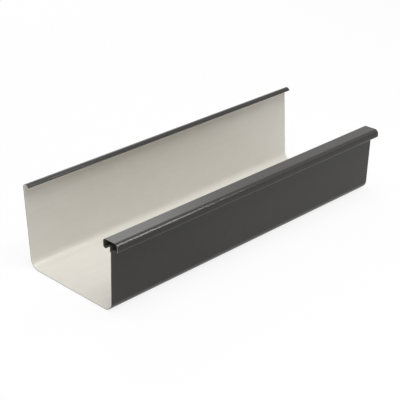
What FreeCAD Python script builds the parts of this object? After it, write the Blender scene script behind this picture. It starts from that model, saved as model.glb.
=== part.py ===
"""Box gutter section: one length of coated sheet, roll-formed into a rectangular gutter.

The back wall is the taller one and ends in a bend that turns in over the channel. The
front wall carries a flat, hollow bead. The sheet is one thickness all the way round.

Frame, in millimetres: +X runs along the gutter, +Y points to the back wall and +Z up.
The origin is on the underside, halfway along and midway between the two walls.
"""

import FreeCAD
import Part

import math
import os

# Overall sizes, measured over the outer face of the sheet
LENGTH = 370.0
BASE_WIDTH = 120.0
FRONT_HEIGHT = 74.3
BACK_HEIGHT = 90.0

# Sheet
THICKNESS = 0.6
BASE_BEND = 10.3
FRONT_LEAN = 3.2
BACK_LEAN = 2.0

# Top edge of the back wall, bent over the channel and down to a short straight edge
LIP_BEND = 4.0
LIP_SLOPE = 63.0
LIP_EDGE = 1.0

# Bead: how far it stands out and in from the top of the front wall, and its depth
BEAD_OUT = 9.2
BEAD_IN = 10.5
BEAD_DEPTH = 9.2
BEAD_ROOT_BEND = 1.4
BEAD_BACK_BEND = 3.0

# Edge of the sheet curled up under the bead and tucked down against the front wall
CURL_BEND = 2.0
TUCK_RISE = 3.5
TUCK_BEND = 1.2
TUCK_GAP = 0.4
TUCK_DROP = 5.2

# Two bends closer than this meet without a straight between them
SAME_POINT = 0.001


def tangent(degrees):
    return math.tan(math.radians(degrees))


def front_face(z):
    """Y of the front wall's outer face at height z."""
    return -BASE_WIDTH / 2 - z * tangent(FRONT_LEAN)


def back_face(z):
    """Y of the back wall's outer face at height z."""
    return BASE_WIDTH / 2 + z * tangent(BACK_LEAN)


def tucked_face(z):
    """Y of the tucked edge's outer face, which stays clear of the front wall."""
    return front_face(z) + (2 * THICKNESS + TUCK_GAP) / math.cos(math.radians(FRONT_LEAN))


def bead_corners():
    """Corners of the bead's outer face, from the tucked edge round to the front wall.

    The nose is a half circle as deep as the bead. The curl and the top of the tuck are
    each two bends wide, and a straight slope joins them.
    """
    nose_bend = BEAD_DEPTH / 2
    bead_bottom = FRONT_HEIGHT - BEAD_DEPTH
    root = front_face(bead_bottom)
    nose = root - BEAD_OUT
    inner_side = root + BEAD_IN
    tuck_top = bead_bottom + TUCK_RISE
    tuck_foot = tuck_top - TUCK_DROP
    return [
        (tucked_face(tuck_foot), tuck_foot, 0),
        (tucked_face(tuck_top), tuck_top, TUCK_BEND),
        (tucked_face(tuck_top) + 2 * TUCK_BEND, tuck_top, TUCK_BEND),
        (inner_side - 2 * CURL_BEND, bead_bottom, CURL_BEND),
        (inner_side, bead_bottom, CURL_BEND),
        (inner_side, FRONT_HEIGHT, BEAD_BACK_BEND),
        (nose, FRONT_HEIGHT, nose_bend),
        (nose, bead_bottom, nose_bend),
        (root, bead_bottom, BEAD_ROOT_BEND),
    ]


def lip_corners():
    """Corners of the back wall's top edge, which is bent over and then down, and its tip."""
    over = back_face(BACK_HEIGHT)
    down = over - LIP_BEND * (tangent((90 + BACK_LEAN) / 2) + tangent(LIP_SLOPE / 2))
    slope = math.radians(LIP_SLOPE)
    slope_length = LIP_BEND * tangent(LIP_SLOPE / 2) + LIP_EDGE
    tip = (down - slope_length * math.cos(slope), BACK_HEIGHT - slope_length * math.sin(slope))
    return [(over, BACK_HEIGHT, LIP_BEND), (down, BACK_HEIGHT, LIP_BEND), (*tip, 0)]


def outer_face():
    """The section's coloured outer face, from the tucked edge to the tip of the lip."""
    base_corners = [
        (front_face(0), 0, BASE_BEND),
        (back_face(0), 0, BASE_BEND),
    ]
    return bead_corners() + base_corners + lip_corners()


def bent_line(corners):
    """A wire through (y, z, bend radius) corners, with a tangent arc at each bend."""
    points = [FreeCAD.Vector(-LENGTH / 2, y, z) for y, z, _ in corners]
    edges = []
    start = points[0]
    for i in range(1, len(points) - 1):
        corner = points[i]
        bend = corners[i][2]
        back = (points[i - 1] - corner).normalize()
        ahead = (points[i + 1] - corner).normalize()
        half_angle = back.getAngle(ahead) / 2
        run = bend / math.tan(half_angle)
        middle = (back + ahead).normalize() * (bend / math.sin(half_angle) - bend)
        arc_start = corner + back * run
        arc_end = corner + ahead * run
        if not start.isEqual(arc_start, SAME_POINT):
            edges.append(Part.LineSegment(start, arc_start).toShape())
        edges.append(Part.Arc(arc_start, corner + middle, arc_end).toShape())
        start = arc_end
    edges.append(Part.LineSegment(start, points[-1]).toShape())
    return Part.Wire(edges)


def gutter_section():
    """The sheet, thickened inwards from its outer face and drawn out to its length."""
    section = bent_line(outer_face()).makeOffset2D(-THICKNESS, 0, True, True)
    return section.extrude(FreeCAD.Vector(LENGTH, 0, 0))


os.makedirs("parts", exist_ok=True)
gutter_section().exportStep("parts/gutter_section.step")
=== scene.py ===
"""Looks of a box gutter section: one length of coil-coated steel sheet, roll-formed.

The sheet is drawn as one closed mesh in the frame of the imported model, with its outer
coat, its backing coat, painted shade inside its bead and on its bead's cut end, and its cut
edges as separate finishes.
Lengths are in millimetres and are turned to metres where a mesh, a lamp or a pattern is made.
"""

import math

import bmesh
import bpy
from mathutils import Matrix, Vector


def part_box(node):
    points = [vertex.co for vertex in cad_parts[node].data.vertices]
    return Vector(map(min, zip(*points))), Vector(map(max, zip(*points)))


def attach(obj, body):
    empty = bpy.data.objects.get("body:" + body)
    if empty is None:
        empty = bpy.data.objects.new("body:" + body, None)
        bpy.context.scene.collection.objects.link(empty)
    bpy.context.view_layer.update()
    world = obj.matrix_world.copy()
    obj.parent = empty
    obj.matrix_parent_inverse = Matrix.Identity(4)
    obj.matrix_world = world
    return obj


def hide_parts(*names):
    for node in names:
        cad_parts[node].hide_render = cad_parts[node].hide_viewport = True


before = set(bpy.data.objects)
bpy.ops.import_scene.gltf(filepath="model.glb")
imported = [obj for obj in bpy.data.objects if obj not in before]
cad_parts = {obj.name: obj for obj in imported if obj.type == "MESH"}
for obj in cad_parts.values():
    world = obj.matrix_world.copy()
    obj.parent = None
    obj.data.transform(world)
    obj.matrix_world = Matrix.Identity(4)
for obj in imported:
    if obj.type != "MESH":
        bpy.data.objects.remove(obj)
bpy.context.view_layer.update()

MM = 0.001

# Section of the sheet over its outer face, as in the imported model
BASE_WIDTH = 120.0
FRONT_HEIGHT = 74.3
BACK_HEIGHT = 90.0
THICKNESS = 0.6
BASE_BEND = 10.3
FRONT_LEAN = 3.2
BACK_LEAN = 2.0
LIP_BEND = 4.0
LIP_SLOPE = 63.0
LIP_EDGE = 1.0
BEAD_OUT = 9.2
BEAD_IN = 10.5
BEAD_DEPTH = 9.2
BEAD_ROOT_BEND = 1.4
BEAD_BACK_BEND = 3.0
CURL_BEND = 2.0
TUCK_RISE = 3.5
TUCK_BEND = 1.2
TUCK_GAP = 0.4
TUCK_DROP = 5.2

# The nose's lower bend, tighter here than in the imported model, where the nose is a half circle
NOSE_LOW_BEND = 2.6

# How far round the nose the cut end shows bare steel, measured in from its front; the rest of
# the bead's cut end is painted dark as shade
BARE_NOSE = 0.9

# Fineness of the mesh: degrees of a bend for each facet, and the broken corners of the cuts
BEND_STEP = 6.0
CORNER_STEPS = 3
SLIT_CORNER = 0.15
END_CORNER = 0.1
SAME_POINT = 0.001

# Camera: where it looks from, in degrees and millimetres
VIEW_AZIMUTH = -44.1
VIEW_ELEVATION = 25.67
VIEW_ROLL = -0.74
VIEW_DISTANCE = 1176.3
VIEW_AIM = (1.2, 15.1, 24.3)
LENS = 101.3

# Studio: the floor's own whiteness near the gutter, the distances over which it rises to full
# white, and how much of the air's brightness lights the sheet
FLOOR_SIZE = 20000.0
FLOOR_WHITE = 0.85
FADE_START = 500.0
FADE_END = 2000.0
AIR_LIGHT = 0.24

# Patterns of the finishes: how wide each one is, and how deep where it stands in relief
FORMING_LINES = 3.0
COAT_MOTTLE = 9.0
COAT_PEEL = 2.5
PEEL_DEPTH = 0.01
COAT_GRAIN = 0.7
GRAIN_DEPTH = 0.006
ROLLER_LINES = 4.0
ROLLER_DEPTH = 0.02
THIN_PATCHES = 14.0
PRIMER_LINES = 2.0
PRIMER_DEPTH = 0.02
PRIMER_MOTTLE = 3.0
COAT_SMEAR = 0.8
SMEAR_DEPTH = 0.03
SHEAR_MARKS = 0.4
MARKS_DEPTH = 0.02

# Rolling lines are this much shorter in the pattern than on the sheet, so they run along X
LINE_STRETCH = 0.03

# Sockets of the colour Mix node
MIX_FACTOR, MIX_A, MIX_B = 0, 6, 7
MIX_RESULT = 2


# The sheet's section

def tangent(degrees):
    return math.tan(math.radians(degrees))


def front_face(z):
    """Y of the front wall's outer face at height z."""
    return -BASE_WIDTH / 2 - z * tangent(FRONT_LEAN)


def back_face(z):
    """Y of the back wall's outer face at height z."""
    return BASE_WIDTH / 2 + z * tangent(BACK_LEAN)


def tucked_face(z):
    """Y of the tucked edge's outer face, which stays clear of the front wall."""
    return front_face(z) + (2 * THICKNESS + TUCK_GAP) / math.cos(math.radians(FRONT_LEAN))


def bead_corners():
    """(y, z, bend) corners of the bead's outer face, from the tucked edge to its root.

    The nose is rounder above than below.
    """
    nose_bend = BEAD_DEPTH / 2
    bead_bottom = FRONT_HEIGHT - BEAD_DEPTH
    root = front_face(bead_bottom)
    nose = root - BEAD_OUT
    inner_side = root + BEAD_IN
    tuck_top = bead_bottom + TUCK_RISE
    tuck_foot = tuck_top - TUCK_DROP
    return [
        (tucked_face(tuck_foot), tuck_foot, 0),
        (tucked_face(tuck_top), tuck_top, TUCK_BEND),
        (tucked_face(tuck_top) + 2 * TUCK_BEND, tuck_top, TUCK_BEND),
        (inner_side - 2 * CURL_BEND, bead_bottom, CURL_BEND),
        (inner_side, bead_bottom, CURL_BEND),
        (inner_side, FRONT_HEIGHT, BEAD_BACK_BEND),
        (nose, FRONT_HEIGHT, nose_bend),
        (nose, bead_bottom, NOSE_LOW_BEND),
        (root, bead_bottom, BEAD_ROOT_BEND),
    ]


def base_corners():
    """(y, z, bend) corners between the bottom and the two walls."""
    return [(front_face(0), 0, BASE_BEND), (back_face(0), 0, BASE_BEND)]


def lip_corners():
    """(y, z, bend) corners of the back wall's top edge, bent over and then down, and its tip."""
    over = back_face(BACK_HEIGHT)
    down = over - LIP_BEND * (tangent((90 + BACK_LEAN) / 2) + tangent(LIP_SLOPE / 2))
    slope = math.radians(LIP_SLOPE)
    slope_length = LIP_BEND * tangent(LIP_SLOPE / 2) + LIP_EDGE
    tip = (down - slope_length * math.cos(slope), BACK_HEIGHT - slope_length * math.sin(slope))
    return [(over, BACK_HEIGHT, LIP_BEND), (down, BACK_HEIGHT, LIP_BEND), (*tip, 0)]


def left_of(heading):
    """The side that the sheet's thickness lies on, going along its outer face."""
    return Vector((-heading.y, heading.x))


def bent_line(corners):
    """Points of the outer face with their headings, each bend turned in small steps."""
    points = [Vector((y, z)) for y, z, _ in corners]
    headings = [(b - a).normalized() for a, b in zip(points, points[1:])]
    line = [(points[0], headings[0])]
    for point, (_, _, bend), into, away in zip(points[1:], corners[1:], headings, headings[1:]):
        turn = -into.angle_signed(away)
        centre = point - into * bend * math.tan(abs(turn) / 2)
        centre += left_of(into) * math.copysign(bend, turn)
        steps = math.ceil(math.degrees(abs(turn)) / BEND_STEP)
        for step in range(steps + 1):
            heading = Matrix.Rotation(turn * step / steps, 2) @ into
            place = centre - left_of(heading) * math.copysign(bend, turn)
            if (place - line[-1][0]).length > SAME_POINT:
                line.append((place, heading))
    line.append((points[-1], headings[-1]))
    return line


def broken_corner(tip, ahead, inward, depth, facing):
    """The rounded corner where one skin of the sheet meets its cut face, as (point, normal)."""
    centre = tip - ahead * SLIT_CORNER + inward * (depth + facing * SLIT_CORNER)
    corner = []
    for step in range(CORNER_STEPS + 1):
        turn = math.radians(90 * step / CORNER_STEPS)
        normal = ahead * math.sin(turn) - inward * facing * math.cos(turn)
        corner.append((centre + normal * SLIT_CORNER, normal))
    return corner


def skin(line, depth, facing):
    """One skin of the sheet as (point, normal), with its corner at either cut.

    depth is how far the skin lies in from the outer face, and facing is 1 where it looks
    out and -1 where it looks in.
    """
    (first, first_heading), (last, last_heading) = line[0], line[-1]
    start = broken_corner(first, -first_heading, left_of(first_heading), depth, facing)
    end = broken_corner(last, last_heading, left_of(last_heading), depth, facing)
    middle = [(p + left_of(h) * depth, -left_of(h) * facing) for p, h in line[1:-1]]
    return start[::-1] + middle + end


def stations(length):
    """(x, inset, tilt) of each section: only the corners of the two cut ends need more."""
    end = []
    for step in range(CORNER_STEPS + 1):
        tilt = math.radians(90 * step / CORNER_STEPS)
        x = length / 2 - END_CORNER * (1 - math.sin(tilt))
        end.append((x, END_CORNER * (1 - math.cos(tilt)), tilt))
    return [(-x, inset, -tilt) for x, inset, tilt in end[::-1]] + end


def last_above(side, height):
    """The last point of a skin that lies above a height, on the bead or the front wall."""
    return max(i for i, (point, _) in enumerate(side) if point.x < 0 and point.y > height)


def sheet_points(skins, sections):
    """The points of both skins at every section, in metres, and the normal at each."""
    points, normals = [], []
    for x, inset, tilt in sections:
        for side in skins:
            for point, normal in side:
                place = point - normal * inset
                points.append(Vector((x, place.x, place.y)) * MM)
                normals.append((math.sin(tilt), *(normal * math.cos(tilt))))
    return points, normals


def sheet_faces(skins, sections):
    """(face, finish) for the skins, the strip's two long edges and the two cut ends."""
    outer, inner = skins
    across = len(outer)
    bead_bottom = FRONT_HEIGHT - BEAD_DEPTH
    bare_nose = front_face(bead_bottom) - BEAD_OUT + BARE_NOSE
    bead_end = last_above(outer, bead_bottom - BEAD_ROOT_BEND - THICKNESS)
    painted_shade_end = last_above(inner, bead_bottom)

    def vertex(section, side, i):
        return (section * 2 + side) * across + i

    def end_finish(i):
        # Over the closed bead, all but the nose's front, the cut end is painted dark as shade
        painted_dark = i < bead_end and outer[i][0].x > bare_nose
        return "bead_end_painted_shade" if painted_dark else "cut_edge"

    faces = []
    for s in range(len(sections) - 1):
        end_corner = s != CORNER_STEPS
        for i in range(across - 1):
            slit = i < CORNER_STEPS or i >= across - 1 - CORNER_STEPS
            # Inside the bead the inner skin gets painted shade in place of the cream backing
            # coat
            inner_finish = "bead_inside_painted_shade" if i < painted_shade_end else "backing_coat"
            for side, finish in enumerate(("outer_coat", inner_finish)):
                quad = [vertex(s, side, i), vertex(s + 1, side, i)]
                quad += [vertex(s + 1, side, i + 1), vertex(s, side, i + 1)]
                if end_corner:
                    finish = end_finish(i)
                faces.append((quad, "cut_edge" if slit else finish))
        for i in (0, across - 1):
            quad = [vertex(s, 0, i), vertex(s + 1, 0, i)]
            quad += [vertex(s + 1, 1, i), vertex(s, 1, i)]
            faces.append((quad, "cut_edge"))
    for s in (0, len(sections) - 1):
        for i in range(across - 1):
            quad = [vertex(s, 0, i), vertex(s, 0, i + 1)]
            quad += [vertex(s, 1, i + 1), vertex(s, 1, i)]
            faces.append((quad, end_finish(i)))
    return faces


def gutter_sheet(finishes):
    """The sheet as one closed mesh. finishes are its materials by name, in slot order."""
    low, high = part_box("gutter_section")
    line = bent_line(bead_corners() + base_corners() + lip_corners())
    skins = [skin(line, 0, 1), skin(line, THICKNESS, -1)]
    sections = stations((high[0] - low[0]) / MM)
    points, normals = sheet_points(skins, sections)
    faces = sheet_faces(skins, sections)
    slots = {name: slot for slot, name in enumerate(finishes)}

    mesh = bpy.data.meshes.new("gutter_sheet")
    mesh.from_pydata(points, [], [face for face, _ in faces])
    for material in finishes.values():
        mesh.materials.append(material)
    mesh.polygons.foreach_set("material_index", [slots[finish] for _, finish in faces])
    mesh.polygons.foreach_set("use_smooth", [True] * len(faces))
    work = bmesh.new()
    work.from_mesh(mesh)
    bmesh.ops.recalc_face_normals(work, faces=work.faces)
    work.to_mesh(mesh)
    work.free()
    mesh.normals_split_custom_set_from_vertices(normals)
    sheet = bpy.data.objects.new("gutter_sheet", mesh)
    bpy.context.scene.collection.objects.link(sheet)
    return sheet


# Finishes

def colour(hex_text):
    """A linear colour from an sRGB hex value."""
    linear = []
    for i in (1, 3, 5):
        part = int(hex_text[i:i + 2], 16) / 255
        linear.append(part / 12.92 if part <= 0.04045 else ((part + 0.055) / 1.055) ** 2.4)
    return (*linear, 1.0)


def add(tree, kind, inputs=None, **settings):
    """Add a node. inputs holds a value or a socket to link for each input."""
    node = tree.nodes.new(kind)
    for name, value in settings.items():
        setattr(node, name, value)
    for name, value in (inputs or {}).items():
        if isinstance(value, bpy.types.NodeSocket):
            tree.links.new(value, node.inputs[name])
        else:
            node.inputs[name].default_value = value
    return node


def new_material(name):
    material = bpy.data.materials.new(name)
    material.use_nodes = True
    tree = material.node_tree
    tree.nodes.clear()
    shader = add(tree, "ShaderNodeBsdfPrincipled")
    add(tree, "ShaderNodeOutputMaterial", {"Surface": shader.outputs["BSDF"]})
    return material, tree, shader


def rolling_lines(tree, place, spacing):
    """Fine uneven lines along the strip, their spacing in millimetres."""
    strip = add(tree, "ShaderNodeMapping", {"Vector": place, "Scale": (LINE_STRETCH, 1.0, 1.0)})
    lines = add(tree, "ShaderNodeTexNoise", {
        "Vector": strip.outputs["Vector"], "Scale": 1 / (spacing * MM), "Detail": 3.0,
    })
    return lines.outputs["Fac"]


def outer_coat():
    """Anthracite polyester coil coat, rolled onto the flat strip before it is formed.

    To the eye: an even satin with a little orange peel, and faint duller lines along the
    strip where the forming rolls ran.
    """
    material, tree, shader = new_material("anthracite_polyester_coil_coat")
    place = add(tree, "ShaderNodeTexCoord").outputs["Object"]
    mottle = add(tree, "ShaderNodeTexNoise", {
        "Vector": place, "Scale": 1 / (COAT_MOTTLE * MM), "Detail": 3.0,
    })
    shade = add(tree, "ShaderNodeMix", {
        MIX_FACTOR: mottle.outputs["Fac"],
        MIX_A: colour("#252421"),
        MIX_B: colour("#2e2c29"),
    }, data_type="RGBA")
    sheen = add(tree, "ShaderNodeMapRange", {
        "Value": rolling_lines(tree, place, FORMING_LINES), "To Min": 0.25, "To Max": 0.36,
    })
    peel = add(tree, "ShaderNodeTexNoise", {
        "Vector": place, "Scale": 1 / (COAT_PEEL * MM), "Detail": 1.0,
    })
    waves = add(tree, "ShaderNodeBump", {
        "Height": peel.outputs["Fac"], "Strength": 0.5, "Distance": PEEL_DEPTH * MM,
    })
    # The real grain is some 0.2 mm wide. It is drawn coarser, so that it shows.
    grain = add(tree, "ShaderNodeTexNoise", {
        "Vector": place, "Scale": 1 / (COAT_GRAIN * MM), "Detail": 1.0,
    })
    bump = add(tree, "ShaderNodeBump", {
        "Height": grain.outputs["Fac"], "Strength": 0.4, "Distance": GRAIN_DEPTH * MM,
        "Normal": waves.outputs["Normal"],
    })
    tree.links.new(shade.outputs[MIX_RESULT], shader.inputs["Base Color"])
    tree.links.new(sheen.outputs["Result"], shader.inputs["Roughness"])
    tree.links.new(bump.outputs["Normal"], shader.inputs["Normal"])
    shader.inputs["Specular IOR Level"].default_value = 0.35
    return material


def backing_coat():
    """Cream backing coat, thinly rolled on the strip's other side.

    To the eye: matt and pale, with faint roller lines along the strip and a soft mottle
    where the coat is thinner over the primer.
    """
    material, tree, shader = new_material("cream_backing_coat")
    place = add(tree, "ShaderNodeTexCoord").outputs["Object"]
    lines = rolling_lines(tree, place, ROLLER_LINES)
    thin = add(tree, "ShaderNodeTexNoise", {
        "Vector": place, "Scale": 1 / (THIN_PATCHES * MM), "Detail": 4.0,
    })
    cover = add(tree, "ShaderNodeMath", {0: lines, 1: thin.outputs["Fac"]}, operation="MULTIPLY")
    shade = add(tree, "ShaderNodeMix", {
        MIX_FACTOR: cover.outputs[0],
        MIX_A: colour("#dcd9d1"),
        MIX_B: colour("#e8e5dd"),
    }, data_type="RGBA")
    sheen = add(tree, "ShaderNodeMapRange", {"Value": lines, "To Min": 0.32, "To Max": 0.42})
    bump = add(tree, "ShaderNodeBump", {
        "Height": lines, "Strength": 0.4, "Distance": ROLLER_DEPTH * MM,
    })
    tree.links.new(shade.outputs[MIX_RESULT], shader.inputs["Base Color"])
    tree.links.new(sheen.outputs["Result"], shader.inputs["Roughness"])
    tree.links.new(bump.outputs["Normal"], shader.inputs["Normal"])
    return material


def bead_inside_painted_shade():
    """Dark grey in place of the cream backing coat, on the side of the strip that the bead
    closes in: painted shade for the hollow.

    To the eye: matt grey, and dark by depth at the bead's open ends.
    """
    material, tree, shader = new_material("painted_shade_grey_inside_bead")
    place = add(tree, "ShaderNodeTexCoord").outputs["Object"]
    mottle = add(tree, "ShaderNodeTexNoise", {
        "Vector": place, "Scale": 1 / (PRIMER_MOTTLE * MM), "Detail": 2.0,
    })
    # Dark greys standing in for the shade inside the bead, not the coat's own colour
    shade = add(tree, "ShaderNodeMix", {
        MIX_FACTOR: mottle.outputs["Fac"],
        MIX_A: colour("#5c594f"),
        MIX_B: colour("#656258"),
    }, data_type="RGBA")
    lines = rolling_lines(tree, place, PRIMER_LINES)
    sheen = add(tree, "ShaderNodeMapRange", {"Value": lines, "To Min": 0.55, "To Max": 0.7})
    bump = add(tree, "ShaderNodeBump", {
        "Height": lines, "Strength": 0.3, "Distance": PRIMER_DEPTH * MM,
    })
    tree.links.new(shade.outputs[MIX_RESULT], shader.inputs["Base Color"])
    tree.links.new(sheen.outputs["Result"], shader.inputs["Roughness"])
    tree.links.new(bump.outputs["Normal"], shader.inputs["Normal"])
    return material


def bead_end_painted_shade():
    """Painted shade on the cut end where the bead is closed, nearly black in place of the bare
    steel of the cut.

    To the eye: matt, nearly black, a little uneven.
    """
    material, tree, shader = new_material("painted_shade_dark_bead_cut_end")
    place = add(tree, "ShaderNodeTexCoord").outputs["Object"]
    smear = add(tree, "ShaderNodeTexNoise", {
        "Vector": place, "Scale": 1 / (COAT_SMEAR * MM), "Detail": 2.0,
    })
    # Near-blacks standing in for the shade at the bead's end, not the steel's own colour
    shade = add(tree, "ShaderNodeMix", {
        MIX_FACTOR: smear.outputs["Fac"],
        MIX_A: colour("#1f1e19"),
        MIX_B: colour("#292822"),
    }, data_type="RGBA")
    sheen = add(tree, "ShaderNodeMapRange", {
        "Value": smear.outputs["Fac"], "To Min": 0.5, "To Max": 0.7,
    })
    bump = add(tree, "ShaderNodeBump", {
        "Height": smear.outputs["Fac"], "Strength": 0.5, "Distance": SMEAR_DEPTH * MM,
    })
    tree.links.new(shade.outputs[MIX_RESULT], shader.inputs["Base Color"])
    tree.links.new(sheen.outputs["Result"], shader.inputs["Roughness"])
    tree.links.new(bump.outputs["Normal"], shader.inputs["Normal"])
    return material


def cut_edge():
    """Sheared galvanised steel between the two coats.

    To the eye: a thin grey line, dull, with fine marks of the blade.
    """
    material, tree, shader = new_material("sheared_galvanised_steel")
    place = add(tree, "ShaderNodeTexCoord").outputs["Object"]
    marks = add(tree, "ShaderNodeTexNoise", {
        "Vector": place, "Scale": 1 / (SHEAR_MARKS * MM), "Detail": 2.0,
    })
    shade = add(tree, "ShaderNodeMix", {
        MIX_FACTOR: marks.outputs["Fac"],
        MIX_A: colour("#807e7a"),
        MIX_B: colour("#9a9894"),
    }, data_type="RGBA")
    sheen = add(tree, "ShaderNodeMapRange", {
        "Value": marks.outputs["Fac"], "To Min": 0.4, "To Max": 0.6,
    })
    bump = add(tree, "ShaderNodeBump", {
        "Height": marks.outputs["Fac"], "Strength": 0.5, "Distance": MARKS_DEPTH * MM,
    })
    tree.links.new(shade.outputs[MIX_RESULT], shader.inputs["Base Color"])
    tree.links.new(sheen.outputs["Result"], shader.inputs["Roughness"])
    tree.links.new(bump.outputs["Normal"], shader.inputs["Normal"])
    shader.inputs["Metallic"].default_value = 0.5
    return material


# Studio

def looked_at(tree):
    """1 for a ray from the camera, a mirror or a glass, and 0 for one that gathers light."""
    path = add(tree, "ShaderNodeLightPath")
    seen = add(tree, "ShaderNodeMath", {
        0: path.outputs["Is Camera Ray"], 1: path.outputs["Is Glossy Ray"],
    }, operation="MAXIMUM")
    seen = add(tree, "ShaderNodeMath", {
        0: seen.outputs[0], 1: path.outputs["Is Transmission Ray"],
    }, operation="MAXIMUM")
    return seen.outputs[0]


def floor():
    """A plain pale floor, wide enough to fill every view from above.

    It keeps its shadow near the gutter and is white in the distance.
    """
    mesh = bpy.data.meshes.new("studio_floor")
    half = FLOOR_SIZE * MM / 2
    corners = [(-half, -half, 0), (half, -half, 0), (half, half, 0), (-half, half, 0)]
    mesh.from_pydata(corners, [], [(0, 1, 2, 3)])
    material, tree, shader = new_material("white_paper_sweep")
    shader.inputs["Base Color"].default_value = colour("#fcfcfc")
    shader.inputs["Roughness"].default_value = 0.9
    shader.inputs["Specular IOR Level"].default_value = 0.0
    place = add(tree, "ShaderNodeTexCoord").outputs["Object"]
    distance = add(tree, "ShaderNodeVectorMath", {0: place}, operation="LENGTH")
    whiteness = add(tree, "ShaderNodeMapRange", {
        "Value": distance.outputs["Value"],
        "From Min": FADE_START * MM, "From Max": FADE_END * MM,
        "To Min": FLOOR_WHITE, "To Max": 1.0,
    })
    share = add(tree, "ShaderNodeMath", {
        0: looked_at(tree), 1: whiteness.outputs["Result"],
    }, operation="MULTIPLY")
    white = add(tree, "ShaderNodeEmission", {"Strength": 1.0})
    both = add(tree, "ShaderNodeMixShader", {
        0: share.outputs[0], 1: shader.outputs["BSDF"], 2: white.outputs["Emission"],
    })
    tree.links.new(both.outputs[0], tree.get_output_node("ALL").inputs["Surface"])
    mesh.materials.append(material)
    plane = bpy.data.objects.new("studio_floor", mesh)
    bpy.context.scene.collection.objects.link(plane)
    return plane


def softbox(name, place, aim, width, height, radiance, spread=180, gloss_only=False):
    """A rectangular lamp, in millimetres, with the brightness of its face given.

    spread is how wide its light fans out, in degrees. A gloss_only lamp shows in the gloss of
    the coats and lights nothing else.
    """
    lamp = bpy.data.lights.new(name, "AREA")
    lamp.shape = "RECTANGLE"
    lamp.size = width * MM
    lamp.size_y = height * MM
    lamp.energy = radiance * math.pi * lamp.size * lamp.size_y
    lamp.spread = math.radians(spread)
    rig = bpy.data.objects.new(name, lamp)
    rig.location = Vector(place) * MM
    rig.rotation_euler = (Vector(place) - Vector(aim)).to_track_quat("Z", "Y").to_euler()
    rig.visible_camera = False
    rig.visible_diffuse = not gloss_only
    bpy.context.scene.collection.objects.link(rig)


def studio_air():
    """Even light all round: white where it is looked at or mirrored, and dimmer as light."""
    world = bpy.data.worlds.new("studio_air")
    bpy.context.scene.world = world
    world.use_nodes = True
    tree = world.node_tree
    tree.nodes.clear()
    strength = add(tree, "ShaderNodeMapRange", {
        "Value": looked_at(tree), "To Min": AIR_LIGHT, "To Max": 1.0,
    })
    air = add(tree, "ShaderNodeBackground", {
        "Color": colour("#ffffff"), "Strength": strength.outputs["Result"],
    })
    add(tree, "ShaderNodeOutputWorld", {"Surface": air.outputs["Background"]})


def camera():
    """The camera, turned about Z, tipped down and rolled, then backed off along its axis."""
    turn = Matrix.Rotation(math.radians(VIEW_AZIMUTH), 4, "Z")
    tip = Matrix.Rotation(math.radians(90 - VIEW_ELEVATION), 4, "X")
    roll = Matrix.Rotation(math.radians(VIEW_ROLL), 4, "Z")
    back_off = Matrix.Translation((0, 0, VIEW_DISTANCE * MM))
    lens = bpy.data.cameras.new("camera")
    lens.lens = LENS
    rig = bpy.data.objects.new("camera", lens)
    rig.matrix_world = Matrix.Translation(Vector(VIEW_AIM) * MM) @ turn @ tip @ roll @ back_off
    bpy.context.scene.collection.objects.link(rig)
    bpy.context.scene.camera = rig


sheet = gutter_sheet({
    "outer_coat": outer_coat(),
    "backing_coat": backing_coat(),
    "bead_inside_painted_shade": bead_inside_painted_shade(),
    "bead_end_painted_shade": bead_end_painted_shade(),
    "cut_edge": cut_edge(),
})
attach(sheet, "root")
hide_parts("gutter_section")

floor()
studio_air()
# Each lamp has its place, its aim, its width and height, and the brightness of its face
softbox("key_softbox", (-150, -330, 1600), (0, 0, 0), 1500, 1300, 3.75)
softbox("back_right_softbox", (500, 1150, 750), (-100, -60, 70), 800, 800, 2.05)
softbox("right_softbox", (1250, 900, 650), (0, -60, 70), 1000, 700, 0.1)
softbox("front_right_softbox", (1000, -700, 950), (0, -60, 70), 900, 600, 0.7)
softbox(
    "nose_strip", (170, -360, 464), (-175, -72, 72), 160, 160, 0.72, spread=28, gloss_only=True,
)
camera()
bpy.context.scene.view_settings.view_transform = "Standard"
